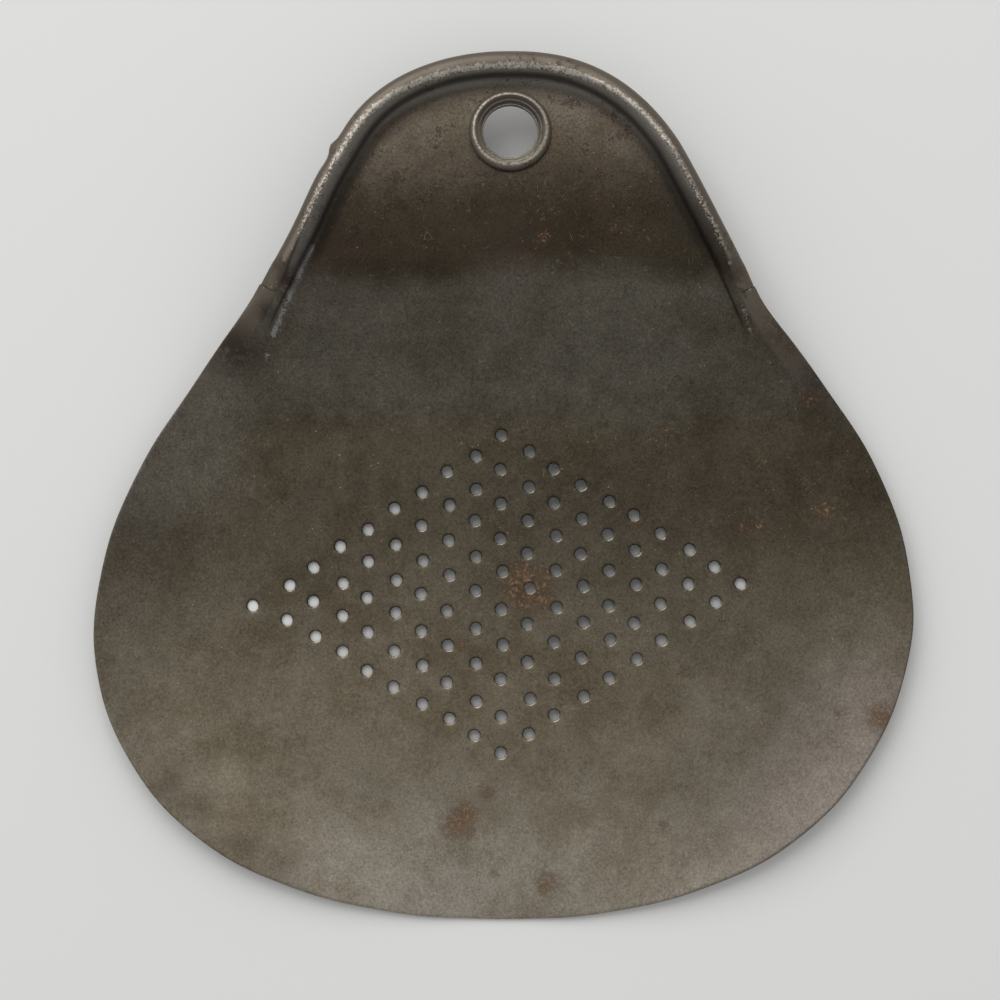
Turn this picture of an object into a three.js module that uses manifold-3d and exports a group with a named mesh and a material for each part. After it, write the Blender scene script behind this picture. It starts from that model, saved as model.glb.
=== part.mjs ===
// A milk skimmer: a shallow pear-shaped pan of tinned sheet iron, stepped up to a flat handle plate.
// It lies on its floor. +Z is up, +Y runs from the lip to the handle's crown and +X is to the right.
// Sizes are in millimetres.
import * as THREE from "three";
import { mergeGeometries, mergeVertices } from "three/addons/utils/BufferGeometryUtils.js";
import Module from "manifold-3d";

const wasm = await Module();
wasm.setup();
const { clamp, degToRad, lerp, smoothstep } = THREE.MathUtils;

// Sheet and clearances
const sheet = 0.5; // thickness of the tinned iron
const clearance = 0.3; // kept between pieces that touch
const overrun = 3; // how far a punch runs past the sheet

// Plan of the sheet
const halfWidth = 81.7; // centre line to the widest point of either side
const crownReach = 87.25; // origin to the handle's crown
const lipReach = 86.65; // origin to the pouring lip

// Knots of each side's outline, from crown to lip: the place across as a share of halfWidth, the
// place along as a share of the reach on that side of the origin, the heading in degrees below
// level, and how far the curve keeps that heading before and after the knot, as shares of halfWidth.
const rightSideShares = [
  { across: 0, along: 1, heading: 0, before: 0, after: 0.071 },
  { across: 0.431, along: 0.787, heading: 57.3, before: 0.286, after: 0.05 },
  { across: 0.613, along: 0.448, heading: 64.8, before: 0.05, after: 0.17 },
  { across: 1, along: -0.295, heading: 90, before: 0.407, after: 0.125 },
  { across: 0, along: -1, heading: 180, before: 0.917, after: 0 },
];
const leftSideShares = [
  { across: 0, along: 1, heading: 0, before: 0, after: 0.088 },
  { across: 0.395, along: 0.815, heading: 59.1, before: 0.198, after: 0.228 },
  { across: 0.595, along: 0.453, heading: 59.6, before: 0.243, after: 0.277 },
  { across: 1, along: -0.35, heading: 90, before: 0.397, after: 0.198 },
  { across: 0, along: -1, heading: 180, before: 0.855, after: 0 },
];
const rollEndKnot = 2; // the wired edge ends at this knot on both sides

// Heights along the skimmer
const floorEnd = 9; // the flat floor ends here and starts to rise
const plateStart = 45; // the raised handle plate starts here
const stepHeight = 11; // from the floor up to the plate
const plateDroop = 2.5; // how far the plate has sunk again at the crown
const lateRise = 1.2; // above 1 the step starts gently and turns sharply into the plate

// Turned-up margin of the pan
const marginWidth = 22;
const marginRise = 4.5;
const lipRiseShare = 0.06; // of that rise at the middle of the lip, which lies almost flat
const fullRiseShare = 0.85; // of halfWidth: the place across where the rise is full

// Wired edge of the handle
const wireDiameter = 3.2;
const wireSetback = 5.5; // the wire stops this far short of the roll's ends
const rollInset = 0.6; // the roll's outer face lies this far inside the sheet's own outline
const rollSink = 0.3; // the roll's lowest line lies this far below the plate's top face
const hollowWidth = 2.1; // plan width of the hollow between the plate and the roll
const pressedShare = 0.55; // height of the empty fold at the roll's ends, as a share of the roll's
const wrapAngle = 220; // degrees of the roll from its crest round to the raw edge
const reliefCut = 0.5; // slit between the roll's end and the plain edge
const fadeLength = 14; // the fold dies out over this length of the flank
const ridgeDrop = 0.8; // the flank's edge lies this far below the end of the fold

// Punched holes: a diamond whose rows and columns both run down from its top corner
const holeDiameter = 2.2;
const holesPerRow = 10;
const diamondTopX = -0.5;
const diamondTopY = 9.9;
const leftwardPitch = 6.45;
const leftwardSlope = 33.8; // degrees below level
const rightwardPitch = 6.22;
const rightwardSlope = 30.2;
const rowBow = 0.0205; // the rows bend down by this for each step squared
const handWander = 0.3; // how far the hand-held punch strays
const strayCorner = 1.6; // the left corner's hole was struck this far out of line

// Hanging eyelet
const eyeletX = 1.3;
const eyeletBelowCrown = 16.65; // from the crown down to the eyelet's centre
const boreDiameter = 10.9;
const eyeletWall = 0.6; // thickness of the eyelet's metal
const flangeDiameter = 16.6;
const crestDiameter = 14.4; // of the flange's highest ring
const crestHeight = 1.7; // above the plate's top face
const flareDiameter = 14.6; // of the rolled back edge
const shoulderShare = 0.8; // how full the flange's rounded shoulder is
const lipRound = 0.16; // rounding where the funnel meets the bore
const funnelRoundShare = 0.3; // of the funnel's width that is rounded over at the crest
const funnelSteepShare = 0.65; // of the way down that its straight part aims for

// Steps that the surfaces are cut into
const rollSteps = 18; // stations along the wire, each side
const pressSteps = 2;
const fadeSteps = 4;
const panSteps = 26;
const hollowSteps = 3;
const wallSteps = 3;
const wrapSteps = 8;
const flankSteps = 2;
const wireSides = 10;
const punchSides = 10;
const eyeletSides = 36;
const curveSteps = 4;

// Sizes that follow from these
const crestRing = hollowSteps + wallSteps; // the ring of the surface that runs along the crest
const rollRadius = wireDiameter / 2 + clearance + sheet;
const rollCentre = -rollInset - rollRadius; // measured outward from the outline
const rollWall = rollCentre - rollRadius;
const hollowStart = rollWall - hollowWidth;
const eyeletY = crownReach - eyeletBelowCrown;

// Height of the sheet's top face over the floor's: none on the floor, then a smooth step, then the
// plate, which sinks with the square of the distance.
function bodyHeight(y) {
  const along = clamp((y - floorEnd) / (plateStart - floorEnd), 0, 1);
  const beyond = Math.max(0, y - plateStart) / (crownReach - plateStart);
  return stepHeight * smoothstep(along ** lateRise, 0, 1) - plateDroop * beyond ** 2;
}

function bodyNormal(y) {
  const slope = (bodyHeight(y + sheet) - bodyHeight(y - sheet)) / (2 * sheet);
  return new THREE.Vector3(0, -slope, 1).normalize();
}

// One side's outline as two paths, along the handle and along the pan.
function sidePaths(side, knots) {
  const place = ({ across, along }) =>
    new THREE.Vector2(side * across * halfWidth, along * (along > 0 ? crownReach : lipReach));
  const heading = (knot) => {
    const angle = degToRad(knot.heading);
    return new THREE.Vector2(side * Math.cos(angle), -Math.sin(angle));
  };
  const draw = (first, last) => {
    const path = new THREE.Path();
    for (let i = first; i < last; i++) {
      const start = place(knots[i]);
      const end = place(knots[i + 1]);
      const leave = start.clone().addScaledVector(heading(knots[i]), knots[i].after * halfWidth);
      const arrive = end.clone().addScaledVector(heading(knots[i + 1]), -knots[i + 1].before * halfWidth);
      path.add(new THREE.CubicBezierCurve(start, leave, arrive, end));
    }
    return path;
  };
  return { side, handle: draw(0, rollEndKnot), pan: draw(rollEndKnot, knots.length - 1) };
}

// A station is a place on the outline with its outward direction, and the distance to the roll's
// end: positive along the wired edge, negative beyond it.
function station({ side, handle, pan }, fromRollEnd) {
  const path = fromRollEnd >= 0 ? handle : pan;
  const length = path.getLength();
  const share = fromRollEnd >= 0 ? 1 - fromRollEnd / length : -fromRollEnd / length;
  const point = path.getPointAt(clamp(share, 0, 1));
  const tangent = path.getTangentAt(clamp(share, 0, 1));
  const outward = new THREE.Vector2(-side * tangent.y, side * tangent.x);
  return { point, outward, fromRollEnd, rolled: fromRollEnd >= 0 };
}

// The stations of one side, from the crown to the lip.
function sideStations(paths) {
  const handleLength = paths.handle.getLength();
  const panLength = paths.pan.getLength();
  const stations = [];
  for (let i = 0; i <= rollSteps; i++)
    stations.push(station(paths, lerp(handleLength, wireSetback, i / rollSteps)));
  for (let i = 1; i <= pressSteps; i++)
    stations.push(station(paths, lerp(wireSetback, 0, i / pressSteps)));
  for (let i = 0; i < fadeSteps; i++)
    stations.push(station(paths, -reliefCut - (fadeLength - reliefCut) * (i / fadeSteps)));
  for (let i = 0; i <= panSteps; i++)
    stations.push(station(paths, -lerp(fadeLength, panLength, i / panSteps)));
  return stations;
}

// How far the edge is folded up, from 1 along the wired edge to 0 where the fold has died out.
const foldAt = (fromRollEnd) => smoothstep(fromRollEnd, -fadeLength, 0);
// Half height of the roll, which is pressed flatter beyond the wire's end.
const rollHeight = (fromRollEnd) =>
  rollRadius * lerp(pressedShare, 1, smoothstep(fromRollEnd, 0, wireSetback));
const marginAt = (y) => lerp(marginWidth, -hollowStart, smoothstep(y, floorEnd, plateStart));
const riseAt = (x) =>
  marginRise * lerp(lipRiseShare, 1, smoothstep(Math.abs(x), 0, fullRiseShare * halfWidth));

// The section of the sheet across its edge at a station, as points measured outward from the
// outline and up from the body's face: the hollow, the wall up to the crest, and then either the
// roll round the wire or the plain edge.
function edgeSection({ point, fromRollEnd, rolled }) {
  const fold = foldAt(fromRollEnd);
  const half = rollHeight(fromRollEnd);
  const centreUp = half - rollSink;
  const margin = marginAt(point.y);
  const rise = riseAt(point.x);
  const dish = (out) => rise * ((out + margin) / margin) ** 2;
  const section = [];
  const blend = (gentleOut, foldOut, foldUp) => {
    const out = lerp(gentleOut, foldOut, fold);
    section.push({ out, up: lerp(dish(gentleOut), foldUp, fold) });
  };
  for (let i = 0; i <= crestRing; i++) {
    const gentleOut = lerp(-margin, rollCentre, i / crestRing);
    if (i <= hollowSteps) {
      const angle = (Math.PI / 2) * (i / hollowSteps);
      const foldOut = hollowStart + hollowWidth * Math.sin(angle);
      blend(gentleOut, foldOut, centreUp * (1 - Math.cos(angle)));
    } else {
      const angle = (Math.PI / 2) * ((i - hollowSteps) / wallSteps);
      const foldOut = rollCentre - rollRadius * Math.cos(angle);
      blend(gentleOut, foldOut, centreUp + half * Math.sin(angle));
    }
  }
  if (rolled)
    for (let i = 1; i <= wrapSteps; i++) {
      const angle = degToRad(wrapAngle) * (i / wrapSteps);
      const out = rollCentre + rollRadius * Math.sin(angle);
      section.push({ out, up: centreUp + half * Math.cos(angle) });
    }
  else
    for (let i = 1; i <= flankSteps; i++) {
      const share = i / flankSteps;
      const out = lerp(rollCentre, -sheet / 2, share);
      blend(out, out, centreUp + half - ridgeDrop * share ** 2);
    }
  return section;
}

// The top face at a station: the section stood on the body's height. Beyond the crest the height
// is the crest's own, so that the roll stays round.
function topFace(place) {
  const section = edgeSection(place);
  const planOf = (out) => place.point.clone().addScaledVector(place.outward, out);
  const crestY = planOf(section[crestRing].out).y;
  return section.map(({ out, up }, ring) => {
    const plan = planOf(out);
    const height = bodyHeight(ring <= crestRing ? plan.y : crestY);
    return new THREE.Vector3(plan.x, plan.y, sheet + height + up);
  });
}

// The bottom face lies one sheet's thickness under the top face, square to it.
function bottomFace(top) {
  return top.map((ringPoints, j) =>
    ringPoints.map((point, ring) => {
      if (ring === 0) return point.clone().addScaledVector(bodyNormal(point.y), -sheet);
      const neighbour = (step) => {
        const other = top[(j + step + top.length) % top.length];
        const sameStrip = ring <= crestRing || other.length === ringPoints.length;
        return sameStrip ? other[ring] : point;
      };
      const along = neighbour(1).clone().sub(neighbour(-1));
      const across = ringPoints[Math.min(ring + 1, ringPoints.length - 1)]
        .clone()
        .sub(ringPoints[ring - 1]);
      const normal = along.cross(across).normalize();
      return point.clone().addScaledVector(normal, -sheet);
    }),
  );
}

// A closed surface grown from points, each with its own index.
class Skin {
  constructor() {
    this.positions = [];
    this.index = [];
  }
  point(v) {
    this.positions.push(v.x, v.y, v.z);
    return this.positions.length / 3 - 1;
  }
  quad(a, b, c, d) {
    this.index.push(a, b, c, a, c, d);
  }
  triangle(a, b, c) {
    this.index.push(a, b, c);
  }
  geometry() {
    const geometry = new THREE.BufferGeometry();
    geometry.setAttribute("position", new THREE.Float32BufferAttribute(this.positions, 3));
    geometry.setIndex(this.index);
    return geometry;
  }
}

// The formed sheet: rings of points round the edge, the pan and plate spanned from side to side
// inside them, and a cut face wherever a ring ends.
function formedSheet(rightStations, leftStations) {
  const loop = [...rightStations, ...leftStations.slice(1, -1).reverse()];
  const top = loop.map(topFace);
  const bottom = bottomFace(top);
  const skin = new Skin();
  const topIndex = top.map((points) => points.map((point) => skin.point(point)));
  const bottomIndex = bottom.map((points) => points.map((point) => skin.point(point)));
  const count = loop.length;

  for (let j = 0; j < count; j++) {
    const next = (j + 1) % count;
    const joined = top[j].length === top[next].length;
    const lastRing = joined ? top[j].length - 1 : crestRing;
    for (let ring = 0; ring < lastRing; ring++) {
      skin.quad(
        topIndex[j][ring],
        topIndex[next][ring],
        topIndex[next][ring + 1],
        topIndex[j][ring + 1],
      );
      skin.quad(
        bottomIndex[j][ring],
        bottomIndex[j][ring + 1],
        bottomIndex[next][ring + 1],
        bottomIndex[next][ring],
      );
    }
    skin.quad(
      topIndex[j][lastRing],
      topIndex[next][lastRing],
      bottomIndex[next][lastRing],
      bottomIndex[j][lastRing],
    );
    if (joined) continue;
    for (let ring = crestRing; ring < top[j].length - 1; ring++)
      skin.quad(topIndex[j][ring + 1], topIndex[j][ring], bottomIndex[j][ring], bottomIndex[j][ring + 1]);
    for (let ring = crestRing; ring < top[next].length - 1; ring++)
      skin.quad(
        topIndex[next][ring],
        topIndex[next][ring + 1],
        bottomIndex[next][ring + 1],
        bottomIndex[next][ring],
      );
  }

  const lip = rightStations.length - 1;
  const leftOf = (i) => (i === 0 || i === lip ? i : count - i);
  for (let i = 0; i < lip; i++) {
    const corners = [i, leftOf(i), leftOf(i + 1), i + 1];
    const ends = [...new Set(corners)];
    const topCorners = ends.map((j) => topIndex[j][0]);
    const bottomCorners = ends.map((j) => bottomIndex[j][0]).reverse();
    for (const face of [topCorners, bottomCorners])
      face.length === 4 ? skin.quad(...face) : skin.triangle(...face);
  }
  return skin.geometry();
}

// Joining and cutting
function solidOf(geometry) {
  const bare = geometry.clone();
  bare.deleteAttribute("normal");
  bare.deleteAttribute("uv");
  const merged = mergeVertices(bare, sheet / 1e4);
  return new wasm.Manifold(
    new wasm.Mesh({
      numProp: 3,
      vertProperties: new Float32Array(merged.attributes.position.array),
      triVerts: new Uint32Array(merged.index.array),
    }),
  );
}

function geometryOf(solid) {
  const mesh = solid.getMesh();
  const geometry = new THREE.BufferGeometry();
  geometry.setAttribute("position", new THREE.BufferAttribute(mesh.vertProperties, 3));
  geometry.setIndex(new THREE.BufferAttribute(mesh.triVerts, 1));
  return geometry;
}

// A round punch that stands on the sheet at a place in plan, square to the body's face there.
function punch(x, y, diameter, sides) {
  const geometry = new THREE.CylinderGeometry(diameter / 2, diameter / 2, 2 * overrun, sides);
  const square = new THREE.Quaternion().setFromUnitVectors(new THREE.Vector3(0, 1, 0), bodyNormal(y));
  return geometry.applyQuaternion(square).translate(x, y, bodyHeight(y) + sheet / 2);
}

// The punched diamond. The punch was held by hand, so each hole strays a little from its place.
function holePunches() {
  const punches = [];
  for (let row = 0; row < holesPerRow; row++)
    for (let column = 0; column < holesPerRow; column++) {
      const down = row * leftwardPitch;
      const across = column * rightwardPitch;
      const bow = rowBow * (row ** 2 + column ** 2);
      const stray = row === holesPerRow - 1 && column === 0 ? strayCorner : 0;
      const wanderX = handWander * Math.sin(row * row + column * (row + 2));
      const wanderY = handWander * Math.cos(column * column + row * (column + 3));
      punches.push(
        punch(
          diamondTopX -
            down * Math.cos(degToRad(leftwardSlope)) +
            across * Math.cos(degToRad(rightwardSlope)) +
            wanderX -
            stray,
          diamondTopY -
            down * Math.sin(degToRad(leftwardSlope)) -
            across * Math.sin(degToRad(rightwardSlope)) +
            wanderY -
            bow,
          holeDiameter,
          punchSides,
        ),
      );
    }
  return mergeGeometries(punches);
}

// The wire along the middle of the roll, from a setback at one end to the same at the other.
function wireGeometry(rightPaths, leftPaths) {
  const centreLine = (paths) => {
    const length = paths.handle.getLength();
    const points = [];
    for (let i = 0; i <= rollSteps; i++) {
      const place = station(paths, lerp(length, wireSetback, i / rollSteps));
      const plan = place.point.clone().addScaledVector(place.outward, rollCentre);
      points.push(new THREE.Vector3(plan.x, plan.y, sheet + bodyHeight(plan.y) + rollRadius - rollSink));
    }
    return points;
  };
  const points = [...centreLine(rightPaths).reverse(), ...centreLine(leftPaths).slice(1)];
  const section = new THREE.Shape().absarc(0, 0, wireDiameter / 2, 0, 2 * Math.PI);
  return new THREE.ExtrudeGeometry(section, {
    extrudePath: new THREE.CatmullRomCurve3(points),
    steps: 2 * rollSteps,
    curveSegments: wireSides / 2,
  });
}

// The eyelet is turned about its own axis, drawn here with the plate's top face at zero: a rounded
// flange in front, a funnel down to the bore, and an edge rolled back behind the plate.
function eyeletGeometry() {
  const bore = boreDiameter / 2;
  const barrel = bore + eyeletWall;
  const crest = crestDiameter / 2;
  const flange = flangeDiameter / 2;
  const flare = flareDiameter / 2;
  const behind = -sheet - clearance;
  const throat = behind / 2;
  const outline = new THREE.Shape();
  outline.moveTo(flange, clearance);
  const shoulderUp = shoulderShare * crestHeight;
  const shoulderOut = lerp(flange, crest, shoulderShare);
  outline.bezierCurveTo(flange, shoulderUp, shoulderOut, crestHeight, crest, crestHeight);
  const lip = bore + lipRound;
  const steepOut = lerp(crest, lip, funnelSteepShare);
  const steepUp = lerp(crestHeight, lipRound, funnelSteepShare);
  outline.bezierCurveTo(lerp(crest, lip, funnelRoundShare), crestHeight, steepOut, steepUp, lip, lipRound);
  outline.bezierCurveTo(bore, lipRound / 2, bore, 0, bore, throat);
  outline.bezierCurveTo(bore, behind, bore, behind - eyeletWall, barrel, behind - eyeletWall);
  outline.lineTo(flare, behind - eyeletWall);
  outline.lineTo(flare, behind);
  outline.lineTo(barrel, behind);
  outline.lineTo(barrel, 0);
  const under = crestHeight - eyeletWall;
  outline.bezierCurveTo(barrel + eyeletWall / 4, clearance, (barrel + crest) / 2, under, crest, under);
  outline.quadraticCurveTo(flange - eyeletWall, under, flange - eyeletWall, clearance);
  outline.closePath();
  const points = outline.getPoints(curveSteps);
  const turned = new THREE.LatheGeometry(points, eyeletSides);
  const square = new THREE.Quaternion().setFromUnitVectors(new THREE.Vector3(0, 1, 0), bodyNormal(eyeletY));
  return turned.applyQuaternion(square).translate(eyeletX, eyeletY, sheet + bodyHeight(eyeletY));
}

const rightPaths = sidePaths(1, rightSideShares);
const leftPaths = sidePaths(-1, leftSideShares);
const eyeletHole = punch(eyeletX, eyeletY, boreDiameter + 2 * (eyeletWall + clearance), eyeletSides);
const panSolid = solidOf(formedSheet(sideStations(rightPaths), sideStations(leftPaths)))
  .subtract(solidOf(holePunches()))
  .subtract(solidOf(eyeletHole));

const tinnedIron = new THREE.MeshStandardMaterial({ color: 0x4a463e, metalness: 0.9, roughness: 0.45 });
const ironWire = new THREE.MeshStandardMaterial({ color: 0x3c3a37, metalness: 0.9, roughness: 0.5 });
const eyeletMetal = new THREE.MeshStandardMaterial({ color: 0x56514a, metalness: 0.9, roughness: 0.38 });

const skimmer = new THREE.Group();
for (const [name, geometry, material] of [
  ["skimmer_pan", geometryOf(panSolid), tinnedIron],
  ["rim_wire", wireGeometry(rightPaths, leftPaths), ironWire],
  ["hanging_eyelet", eyeletGeometry(), eyeletMetal],
]) {
  const mesh = new THREE.Mesh(geometry, material);
  mesh.name = name;
  skimmer.add(mesh);
}

export default skimmer;
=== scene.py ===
"""A milk skimmer of old tinned iron, lying on a pale floor and seen from above.

Sizes are in millimetres, as on the maker's bench, and MM turns them to metres where a mesh is made.
"""
import math
import bmesh
import bpy
import numpy as np
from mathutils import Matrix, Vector
from mathutils.geometry import delaunay_2d_cdt


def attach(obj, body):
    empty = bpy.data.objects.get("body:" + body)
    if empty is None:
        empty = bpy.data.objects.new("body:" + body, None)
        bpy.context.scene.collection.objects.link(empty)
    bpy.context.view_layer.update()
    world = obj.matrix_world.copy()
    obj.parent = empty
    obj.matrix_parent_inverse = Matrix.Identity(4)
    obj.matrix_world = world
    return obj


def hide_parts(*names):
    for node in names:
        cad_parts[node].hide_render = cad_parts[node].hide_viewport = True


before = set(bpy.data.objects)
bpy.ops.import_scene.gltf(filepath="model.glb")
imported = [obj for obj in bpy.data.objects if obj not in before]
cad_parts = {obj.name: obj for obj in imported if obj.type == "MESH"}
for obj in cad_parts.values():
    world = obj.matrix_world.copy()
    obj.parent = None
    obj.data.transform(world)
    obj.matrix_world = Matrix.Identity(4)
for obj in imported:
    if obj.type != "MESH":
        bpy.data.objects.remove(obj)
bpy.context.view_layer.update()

MM = 0.001

# The pan
# One sheet of tinned iron, cut with snips to a pear shape and pressed: a flat floor, a turned-up
# margin, a step and a handle plate. Its edge is curled over a wire round the handle, and the holes
# are punched from the front, which draws their edges in and leaves a burr behind.
sheet = 0.5
clearance = 0.3
half_width, crown_reach, lip_reach = 81.7, 87.25, 86.65
floor_end, plate_start = 9.0, 45.0
step_height, plate_droop, late_rise = 11.0, 2.5, 1.2
margin_width, margin_rise = 22.0, 4.5
lip_rise_share, full_rise_share = 0.06, 0.85
wire_diameter, wire_setback = 3.2, 5.5
roll_inset, roll_sink, hollow_width = 0.6, 0.3, 2.9
pressed_share, spread_share, wrap_angle = 0.55, 0.3, 224.0
relief_cut, fade_length, ridge_drop = 0.15, 14.0, 0.8
wire_end_step = 1.0  # the roll sinks over this length past the wire's end
roll_radius = wire_diameter / 2 + clearance + sheet
roll_centre = -roll_inset - roll_radius
roll_wall = roll_centre - roll_radius
hollow_start = roll_wall - hollow_width

# Knots of each side from crown to lip: place across as a share of half_width, place along as a share
# of the reach, heading in degrees below level, and the run before and after, as shares of half_width.
right_knot_shares = [
    (0, 1, 0, 0, 0.071),
    (0.431, 0.787, 57.3, 0.286, 0.05),
    (0.613, 0.448, 64.8, 0.05, 0.17),
    (1, -0.295, 90, 0.407, 0.125),
    (0, -1, 180, 0.917, 0),
]
left_knot_shares = [
    (0, 1, 0, 0, 0.088),
    (0.395, 0.815, 59.1, 0.198, 0.228),
    (0.595, 0.453, 59.6, 0.243, 0.277),
    (1, -0.35, 90, 0.397, 0.198),
    (0, -1, 180, 0.855, 0),
]
roll_end_knot = 2


def smoothstep(value, low, high):
    """The cubic 3t^2 - 2t^3 of how far value has come from low to high."""
    t = np.clip((value - low) / (high - low), 0, 1)
    return t * t * (3 - 2 * t)


def mix(a, b, share):
    return a + (b - a) * share


def body_height(y):
    """Height of the top face: none on the floor, a smooth step, then a plate that sinks by a square."""
    along = np.clip((y - floor_end) / (plate_start - floor_end), 0, 1)
    beyond = np.clip(y - plate_start, 0, None) / (crown_reach - plate_start)
    return step_height * smoothstep(along**late_rise, 0, 1) - plate_droop * beyond**2


# The sheet was beaten by hand: long low waves as (height, length across, length along, phase), and
# single dents as (across, along, radius, height).
hand_waves = [(0.04, 61, 83, 0.4), (0.03, -37, 52, 2.1), (0.015, 23, -31, 4.0), (0.008, 13, 17, 1.1)]
hand_dents = [(-52, -23, 6, -0.1), (28, -63, 9, 0.1), (46, 20, 10, -0.12), (-30, 58, 7, 0.08)]
floor_crown = 2.3  # the punching has arched the floor up by this much near its middle
crown_across, crown_along, crown_spread = 10.0, 5.0, 38.0  # the arch's middle, and its spread across
rest_lift = 0.05  # the waves' lowest places stand on the floor


def hand_beaten(x, y):
    """The sum of the arched floor, the long waves and the dents, each a bell curve of the distance.

    The arch is a bell curve across the pan, a little right of the middle. It falls by a square to
    nothing at the lip, and fades out under the step.
    """
    to_lip = np.clip((crown_along - y) / (lip_reach + crown_along), 0, 1)
    arch = np.exp(-(((x - crown_across) / crown_spread) ** 2)) * (1 - to_lip**2)
    height = rest_lift + floor_crown * arch * (1 - smoothstep(y, floor_end, plate_start))
    for rise, across, along, phase in hand_waves:
        height = height + rise * np.sin(2 * np.pi * (x / across + y / along) + phase)
    for across, along, radius, rise in hand_dents:
        height = height + rise * np.exp(-((x - across) ** 2 + (y - along) ** 2) / radius**2)
    return height


def body_top(x, y):
    return sheet + body_height(y) + hand_beaten(x, y)


def body_normal(x, y):
    """The upward normal of the body's face, from the slope between two near points each way."""
    near = 0.05
    slope_x = (body_top(x + near, y) - body_top(x - near, y)) / (2 * near)
    slope_y = (body_top(x, y + near) - body_top(x, y - near)) / (2 * near)
    normal = np.stack([-slope_x, -slope_y, np.ones_like(slope_x)], -1)
    return normal / np.linalg.norm(normal, axis=-1, keepdims=True)


def side_outline(side, knots, points_per_curve=400):
    """Close points along cubic curves between the knots, and their arc lengths.

    The arc length is counted from the roll's end: positive along the handle, negative on the pan.
    """
    t = np.linspace(0, 1, points_per_curve)[:, None]
    pieces = []
    for first, last in zip(knots[:-1], knots[1:]):
        ends = []
        for across, along, heading, before, after in (first, last):
            place = np.array([side * across * half_width, along * (crown_reach if along > 0 else lip_reach)])
            angle = math.radians(heading)
            direction = np.array([side * math.cos(angle), -math.sin(angle)]) * half_width
            ends.append((place, place - before * direction, place + after * direction))
        (start, _, leave), (end, arrive, _) = ends
        curve = (1 - t) ** 3 * start + 3 * (1 - t) ** 2 * t * leave + 3 * (1 - t) * t**2 * arrive + t**3 * end
        pieces.append(curve if not pieces else curve[1:])
    points = np.concatenate(pieces)
    arc = np.concatenate([[0], np.cumsum(np.linalg.norm(np.diff(points, axis=0), axis=1))])
    roll_end = arc[sum(len(piece) for piece in pieces[:roll_end_knot]) - 1]
    return points, roll_end - arc


def stations_of(side, knots, handle_steps, pan_steps):
    """Places round one side, from the crown to the lip, with their outward directions."""
    points, from_end = side_outline(side, knots)
    on_handle = np.linspace(from_end[0], 0, handle_steps + 1)
    on_pan = np.linspace(-relief_cut, from_end[-1], pan_steps + 1)
    wanted = np.concatenate([on_handle, on_pan])
    place = np.stack([np.interp(-wanted, -from_end, points[:, k]) for k in (0, 1)], -1)
    tangent = np.gradient(points, axis=0)
    tangent /= np.linalg.norm(tangent, axis=1, keepdims=True)
    heading = np.stack([np.interp(-wanted, -from_end, tangent[:, k]) for k in (0, 1)], -1)
    outward = np.stack([-side * heading[:, 1], side * heading[:, 0]], -1)
    rolled = np.arange(len(wanted)) <= handle_steps
    return place, outward, wanted, rolled


hollow_steps, wall_steps, wrap_steps, flank_steps, edge_steps = 9, 9, 22, 6, 3
crest_ring = hollow_steps + wall_steps
right_angle = math.pi / 2
roll_wobble, wobble_run, wobble_drift = 0.04, 2.3, 5.1  # the roll was closed with a hand mallet
edge_wander, long_wander, short_wander = 0.06, 7.3, 3.1  # the plain edge was cut with hand snips
cut_setback_share = 0.8  # the top face ends this many thicknesses in from the outline
lump_from_end, lump_length, lump_rise = 30.9, 1.3, 0.6  # a knock in the left side's roll
dint_from_end, dint_length, dint_depth = 27.7, 2.0, 0.25  # and the shallow dint beside it
polish_glint_beside, polish_glint_above, polish_glint_width = 2.4, 4.0, 0.85  # where hands have polished the roll, and its highlight is painted
polish_glint_end_inset, polish_glint_end_from, polish_glint_end_to = 0.9, 14.0, 2.0  # near its ends it runs inward and dies out
flank_wear_loss, right_loss_span, left_loss_span = 0.35, (25, 50), (26, 44)  # weaker on the flanks
cut_edge_wear, cut_end_wear = 0.35, 0.4


def polish_glint_line(outward):
    """How far in from the outline the polished line runs, with its painted highlight: farther above than
    beside the handle.
    """
    return mix(polish_glint_beside, polish_glint_above, outward[:, 1] ** 2)


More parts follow.
